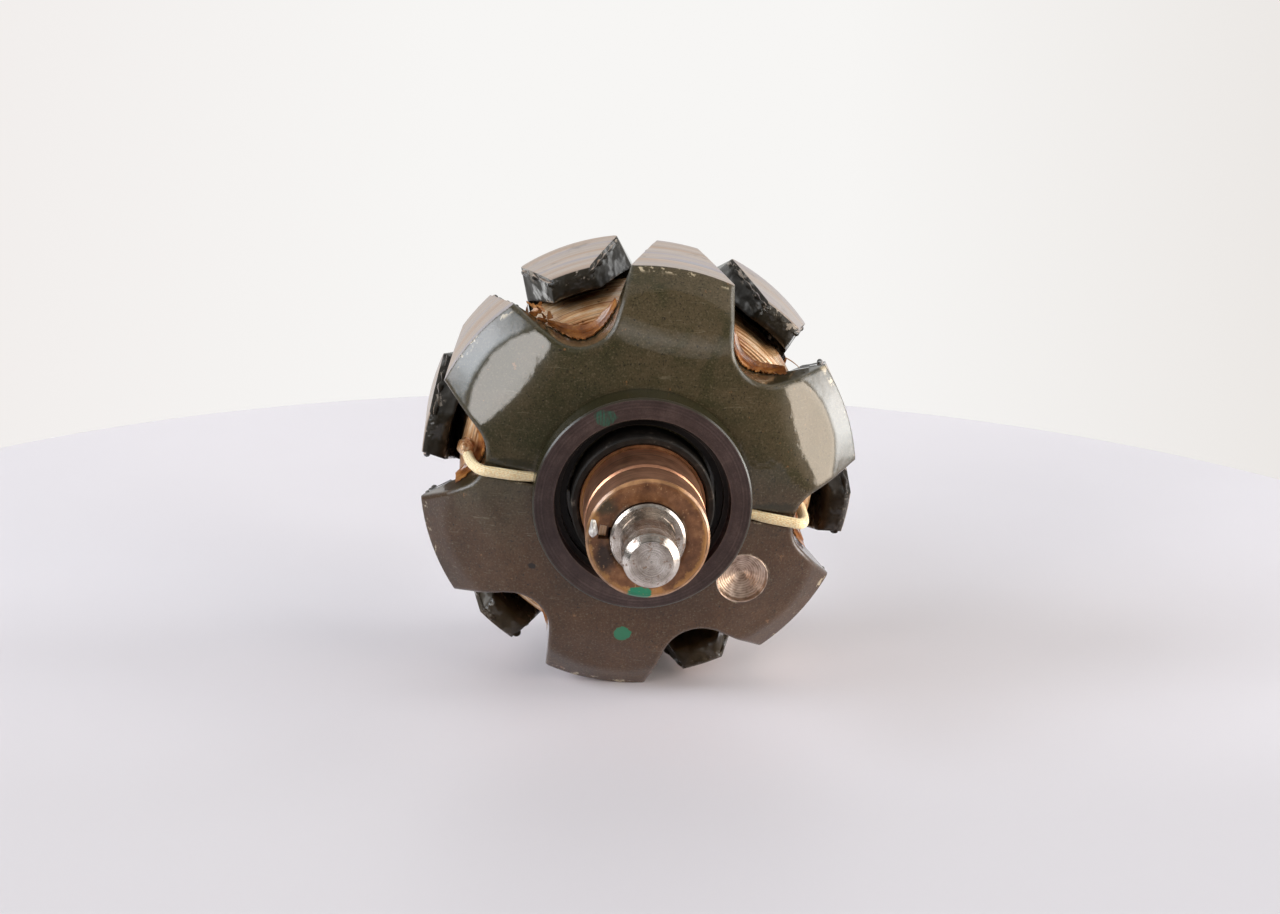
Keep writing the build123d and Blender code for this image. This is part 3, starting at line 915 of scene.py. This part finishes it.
def liner(angle, face, facing):
    """Paper along a notch with varnish run into the corner between it and the face of the coil."""
    rows = [notch_line(inset) for inset, _ in LINER_SECTION]
    outer = rows[0]
    phase = chance.random() * 6
    outward, across = axes_at(angle)
    points = []
    for index, (outer_side, outer_height) in enumerate(outer):
        share = index / (len(outer) - 1)
        fray = 0.8 + 0.4 * math.sin(9 * share + phase) + 0.3 * chance.random()
        fade = min(1.0, 0.15 + 4 * share, 0.15 + 4 * (1 - share))
        for row, (_, depth) in zip(rows, LINER_SECTION):
            station = face + facing * (depth * fray if depth < FRAYED_BELOW else depth)
            side = outer_side + (row[index][0] - outer_side) * fade
            height = outer_height + (row[index][1] - outer_height) * fade
            points.append(outward * height + across * side + Vector((0, station, 0)))
    return points, tube_faces(len(outer), len(LINER_SECTION))


for number in range(CLAWS):
    notch = FIRST_CLAW + CLAW_PITCH / 2 + CLAW_PITCH * number
    mesh_piece(f"front_liner_{number + 1}", liner(notch, COIL_LOW, 1), paper, 60)
    shape = liner(notch + CLAW_PITCH / 2, COIL_HIGH, -1)
    mesh_piece(f"back_liner_{number + 1}", shape, paper, 60)

# Lumps of solder over the end of a lead, and of varnish where the left lead goes into the coil
LUMP_ROWS = 14
LUMP_STEPS = 24


def lump(centre, size, rough):
    """Uneven round lump with its half sizes along the three axes."""
    points = []
    for row in range(LUMP_ROWS + 1):
        lift = math.pi * row / LUMP_ROWS
        for step in range(LUMP_STEPS):
            turn = 2 * math.pi * step / LUMP_STEPS
            bulge = 1 + rough * (math.sin(3 * turn + 2 * lift) + 0.6 * math.sin(5 * turn - 3 * lift + 1))
            ball = Vector((math.sin(lift) * math.cos(turn), -math.cos(lift), math.sin(lift) * math.sin(turn)))
            points.append(centre + ball * Vector(size) * bulge)
    return points, loop_faces(LUMP_ROWS + 1, LUMP_STEPS, turned=True)


shape = lump(around(12.5, SLIP_FRONT + 0.1, 281), (1.0, 0.7, 2.2), 0.10)
mesh_piece("solder_lump", shape, solder_look())
shape = lump(around(42.3, COIL_LOW - 0.4, LEFT_LEAD + 1), (2.0, 4.2, 1.9), 0.07)
mesh_piece("lead_varnish", shape, wire)

# Skin of varnish over the front of the slip ring and its hub, open at the terminal slot
# A row is (radius, lift)
SKIN_ROWS = [
    (8.6, -0.35), (8.75, 0.02), (9.6, 0.06), (10.4, 0.05), (11.2, 0.07),
    (12.0, 0.06), (12.7, 0.05), (13.25, 0.03), (13.45, -0.25),
]
SKIN_EDGE = 13.5
SKIN_STEPS = 180
WANDER_START = 12.5
SLOT_ROWS = 4
SLOT_HALF = 8.5


def over_slot(face):
    row, step = divmod(face[0], SKIN_STEPS)
    return row < SLOT_ROWS and abs(360 * step / SKIN_STEPS - LEFT_LEAD) < SLOT_HALF


points = []
for radius, lift in SKIN_ROWS:
    for step in range(SKIN_STEPS):
        turn = 2 * math.pi * step / SKIN_STEPS
        wander = 0.16 * math.sin(7 * turn) * math.sin(3 * turn + 2) if radius > WANDER_START else 0
        points.append(around(min(SKIN_EDGE, radius + wander), SLIP_FRONT - lift, 360 * step / SKIN_STEPS))
faces = [face for face in loop_faces(len(SKIN_ROWS), SKIN_STEPS, turned=True) if not over_slot(face)]
mesh_piece("face_varnish", (points, faces), resin)

# Frayed scraps of paper at the upper left claw, and one stray strand of wire
SCRAPS = 20
SCRAP_ROWS = 9
SCRAP_THICKNESS = 0.08
SCRAP_CORNERS = [(-1, -1), (1, -1), (1, 1), (-1, 1)]


def scrap(start, heading, length, width, thickness, curl):
    """Strip that narrows and curls along its length."""
    points = []
    place = Vector(start)
    ahead = Vector(heading).normalized()
    bend = Matrix.Rotation(curl / SCRAP_ROWS, 3, Vector((0.3, 1.0, 0.4)).normalized())
    for index in range(SCRAP_ROWS):
        ahead = (bend @ ahead).normalized()
        side = ahead.cross(Vector((0.2, 1.0, 0.1))).normalized()
        over = side.cross(ahead)
        half = width / 2 * (1 - 0.7 * index / SCRAP_ROWS)
        for along, up in SCRAP_CORNERS:
            points.append(place + side * half * along + over * thickness / 2 * up)
        place = place + ahead * length / SCRAP_ROWS
    return points, tube_faces(SCRAP_ROWS, len(SCRAP_CORNERS))


def random_scrap():
    reach = 43.4 + 4.4 * chance.random()
    station = RIM + 0.8 + 4.5 * chance.random()
    angle = 325.5 + 5 * chance.random()
    heading = (chance.uniform(-0.9, 0.3), chance.uniform(-0.7, 0.5), chance.uniform(0.1, 0.9))
    length = chance.uniform(1.8, 3.6)
    width = chance.uniform(0.6, 1.7)
    curl = chance.uniform(-1.6, 1.6)
    return scrap(around(reach, station, angle), heading, length, width, SCRAP_THICKNESS, curl)


shape = joined([random_scrap() for _ in range(SCRAPS)])
mesh_piece("frayed_scraps", shape, paper, 40)
shape = scrap(around(45.6, RIM + 4.5, 50.0), (0.75, -0.2, -0.30), 4.6, 0.28, 0.22, 0.5)
mesh_piece("stray_strand", shape, wire, 40)

# Ridges of set varnish below the ground tops of the claws, along both flanks and round the tips
ROOT_HALF = 13.8
TIP_HALF = 5.12
RIDGE_REACH = 51.2
RIDGE_TIP = 50.9
RIDGE_START = 2.0
RIDGE_LENGTH = CLAW_REACH - 3.2
RIDGE_SIDES = 10
RIDGE_TURN = 0.45
RIDGE_TIP_GAP = 0.55
RIDGE_LEAST = 0.15
RIDGE_SIZE = 0.42
RIDGE_SWELL = 0.50
RIDGE_GRAIN = 0.05
RIDGE_WAVES = 4
FLANK_STEPS = 45
TIP_STEPS = 8
TIP_TURN = TIP_HALF / 10
RIDGE_SETS = [("slip", RIM, 1, FIRST_CLAW), ("drive", BACK_RIM, -1, FIRST_CLAW + CLAW_PITCH / 2)]


def ridge_line(middle, root, facing):
    """Places along one flank of a claw, across its tip and back along the other flank."""
    flank = []
    for step in range(FLANK_STEPS + 1):
        along = RIDGE_START + RIDGE_LENGTH * step / FLANK_STEPS
        half = ROOT_HALF + (TIP_HALF - ROOT_HALF) * along / CLAW_REACH
        flank.append((root + facing * along, half + RIDGE_TURN))
    tip = root + facing * (CLAW_REACH - RIDGE_TIP_GAP)
    line = [around(RIDGE_REACH, station, middle - turn) for station, turn in flank]
    for step in range(-TIP_STEPS, TIP_STEPS + 1):
        line.append(around(RIDGE_TIP, tip, middle + TIP_TURN * step))
    line += [around(RIDGE_REACH, station, middle + turn) for station, turn in reversed(flank)]
    return line


def ridge(line):
    points = []
    waves = [(chance.uniform(0.15, 0.75), chance.uniform(0, 6.3)) for _ in range(RIDGE_WAVES)]
    for index, place in enumerate(line):
        ahead = direction_at(line, index)
        outward = Vector((place.x, 0, place.z)).normalized()
        side = outward.cross(ahead).normalized()
        over = ahead.cross(side)
        swell = sum(math.sin(pace * index + start) for pace, start in waves) / RIDGE_WAVES
        size = max(RIDGE_LEAST, RIDGE_SIZE + RIDGE_SWELL * swell + RIDGE_GRAIN * chance.random())
        for step in range(RIDGE_SIDES):
            turn = 2 * math.pi * step / RIDGE_SIDES
            points.append(place + (side * math.cos(turn) + over * math.sin(turn)) * size)
    return points, tube_faces(len(line), RIDGE_SIDES)


for side, root, facing, first in RIDGE_SETS:
    middles = [first + CLAW_PITCH * number for number in range(CLAWS)]
    shape = joined([ridge(ridge_line(middle, root, facing)) for middle in middles])
    mesh_piece(side + "_varnish_ridges", shape, wheel)

# Burr round the balance drilling
# A row is (reach, ragged reach, lift, ragged lift)
BURR_ROWS = [(6.02, 0, -0.5, 0), (6.06, 0, 0.10, 0.12), (6.35, 0.1, 0.06, 0), (6.8, 0, -0.15, 0)]
BURR_STEPS = 120

centre = around(DRILL_PLACE, 0, DRILL_ANGLE)
turns = [2 * math.pi * step / BURR_STEPS for step in range(BURR_STEPS)]
rags = [0.5 + 0.5 * math.sin(5 * turn) * math.sin(2 * turn + 1) + 0.4 * chance.random() for turn in turns]
points = []
for reach, ragged_reach, lift, ragged_lift in BURR_ROWS:
    for turn, ragged in zip(turns, rags):
        x = centre.x + (reach + ragged_reach * ragged) * math.sin(turn)
        z = centre.z + (reach + ragged_reach * ragged) * math.cos(turn)
        drop = max(0.0, math.hypot(x, z) - HUB_FLAT) * DOME_SLOPE
        points.append(Vector((x, FACE + drop - lift - ragged_lift * ragged, z)))
mesh_piece("drilling_burr", (points, loop_faces(len(BURR_ROWS), BURR_STEPS)), wheel, 50)

# Round table top under the rotor
TABLE_RADIUS = 285.0
TABLE_BEVEL = 2.0
TABLE_THICKNESS = 14.0
TABLE_CENTRE = -64.0
TABLE_STEPS = 192

levels = [
    (TABLE_RADIUS - TABLE_BEVEL, 0.0),
    (TABLE_RADIUS, -TABLE_BEVEL),
    (TABLE_RADIUS, -TABLE_THICKNESS),
]
points = []
for radius, level in levels:
    for step in range(TABLE_STEPS):
        turn = 2 * math.pi * step / TABLE_STEPS
        points.append((radius * math.cos(turn) * MM, radius * math.sin(turn) * MM, level * MM))
faces = loop_faces(len(levels), TABLE_STEPS, turned=True)
faces.append(tuple(range(TABLE_STEPS)))
faces.append(tuple(reversed(range(2 * TABLE_STEPS, 3 * TABLE_STEPS))))
table_mesh = bpy.data.meshes.new("table")
table_mesh.from_pydata(points, [], faces)
table_mesh.validate()
table_mesh.materials.append(table_look())
table = linked("table", table_mesh)
table.location = (0, TABLE_CENTRE * MM, FLOOR * MM)


# Soft boxes at both sides in front, and a weak one above
def soft_box(name, direction, distance, width, height, power, colour):
    lamp = bpy.data.lights.new(name, "AREA")
    lamp.shape = "RECTANGLE"
    lamp.size = width
    lamp.size_y = height
    lamp.energy = power
    lamp.color = colour
    holder = linked(name, lamp)
    middle = Vector((0, RIM * MM, 0))
    holder.location = middle + Vector(direction).normalized() * distance
    holder.rotation_euler = (middle - holder.location).to_track_quat("-Z", "Y").to_euler()


soft_box("left_box", (-0.65, -0.685, 0.33), 3.0, 0.90, 1.16, 34.0, (1.0, 0.97, 0.94))
soft_box("right_box", (0.90, -0.43, 0.06), 3.0, 1.20, 1.32, 60.0, (1.0, 0.87, 0.72))
soft_box("right_high_box", (0.64, -0.58, 0.50), 3.0, 1.00, 0.90, 12.0, (1.0, 0.99, 0.98))
soft_box("top_box", (0.0, 0.12, 1.0), 1.0, 1.5, 1.3, 2.5, (1.0, 0.99, 0.98))

# White surroundings behind, a dark room in front, and glows from windows and walls
# A glow is (direction, inner angle, outer angle, colour)
GLOWS = [
    ((0.10, -0.90, 0.40), 3, 15, (1.9, 1.8, 1.7)),
    ((-0.86, -0.14, 0.485), 6, 19, (10.2, 10.8, 11.6)),
    ((1.0, 0.02, 0.05), 5, 16, (14.0, 14.0, 13.8)),
    ((0.86, 0.02, 0.50), 6, 19, (6.6, 6.6, 6.5)),
]

world = bpy.data.worlds.new("studio")
bpy.context.scene.world = world
world.use_nodes = True
room = Graph(world.node_tree)
where = room.add("ShaderNodeTexCoord", {}).outputs["Generated"]
aside, ahead, _ = room.add("ShaderNodeSeparateXYZ", {"Vector": where}).outputs
sky = room.ramp(room.band(ahead, -1.0, 1.0, "LINEAR"), [
    (0.0, (0.02, 0.02, 0.018)),
    (0.42, (0.03, 0.03, 0.027)),
    (0.52, (0.14, 0.14, 0.14)),
    (0.80, (0.30, 0.30, 0.30)),
    (0.88, (0.85, 0.85, 0.84)),
    (1.0, (0.90, 0.90, 0.89)),
])
for direction, inner, outer, colour in GLOWS:
    towards = room.vector("DOT_PRODUCT", where, Vector(direction).normalized())
    share = room.band(towards, math.cos(math.radians(outer)), math.cos(math.radians(inner)), "LINEAR")
    sky = room.mix(1.0, sky, room.ramp(share, [(0.0, (0, 0, 0)), (1.0, colour)]), "ADD")
# The backdrop seen by the camera is painted darker and warmer towards both sides, most at the right, as
# painted falloff of the light
backdrop = room.ramp(room.band(aside, -0.2, 0.3, "LINEAR"), [
    (0.0, (0.885, 0.855, 0.840)),
    (0.35, (0.930, 0.920, 0.905)),
    (0.65, (0.930, 0.920, 0.905)),
    (1.0, (0.830, 0.800, 0.775)),
])
seen = room.add("ShaderNodeLightPath", {}).outputs["Is Camera Ray"]
background = world.node_tree.nodes["Background"]
room.put(background.inputs["Color"], room.mix(seen, sky, backdrop))
room.put(background.inputs["Strength"], 1.0)

# Camera in front of the slip rings and a little above them
ELEVATION = math.radians(16.42)
AZIMUTH = math.radians(-3.0)
ROLL = math.radians(1.43)
DISTANCE = 630.0
LENS = 73.75
SENSOR = 36.0

aim = Vector((0.20, RIM, 5.49))
backward = Vector((
    math.sin(AZIMUTH) * math.cos(ELEVATION),
    -math.cos(AZIMUTH) * math.cos(ELEVATION),
    math.sin(ELEVATION),
))
level_right = Vector((math.cos(AZIMUTH), math.sin(AZIMUTH), 0))
level_up = backward.cross(level_right)
right = level_right * math.cos(ROLL) + level_up * math.sin(ROLL)
up = level_up * math.cos(ROLL) - level_right * math.sin(ROLL)
camera_data = bpy.data.cameras.new("camera")
camera_data.lens = LENS
camera_data.sensor_width = SENSOR
camera_data.clip_start = 0.01
camera_data.clip_end = 20.0
camera = linked("camera", camera_data)
facing = Matrix((right, up, backward)).transposed().to_4x4()
camera.matrix_world = Matrix.Translation((aim + backward * DISTANCE) * MM) @ facing
bpy.context.scene.camera = camera
bpy.context.scene.view_settings.view_transform = "Standard"
